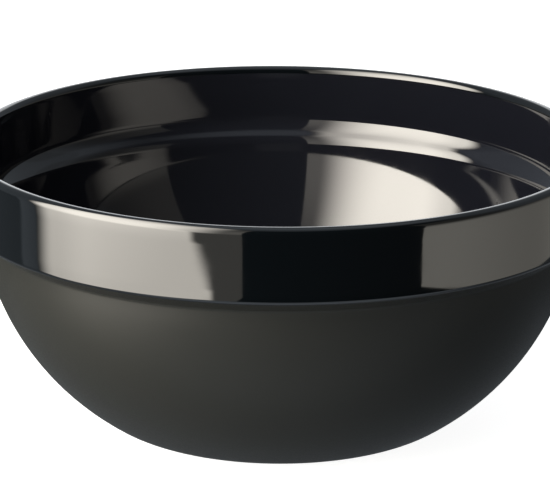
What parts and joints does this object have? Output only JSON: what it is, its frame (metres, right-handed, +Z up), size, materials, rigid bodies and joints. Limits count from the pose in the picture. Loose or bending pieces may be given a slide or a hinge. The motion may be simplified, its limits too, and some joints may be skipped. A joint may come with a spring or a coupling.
{
  "type": "hair colour bowl",
  "caption": "Round stackable mixing bowl with a polished upright rim band, an inner stacking ledge and a non-slip ring under its base.",
  "frame": {"origin": "centre of the level face that the bowl stands on, under the non-slip ring", "axes": "+Z up along the axis that the bowl is turned about; X and Y are any two level directions"},
  "size_m": [0.14, 0.14, 0.064],
  "materials": {
    "black_plastic": "polished inside and on the rim band, satin on the body below the step",
    "black_rubber": "matt"
  },
  "bodies": {
    "root": {"bowl_shell": "black_plastic", "nonslip_foot_ring": "black_rubber"}
  },
  "joints": []
}
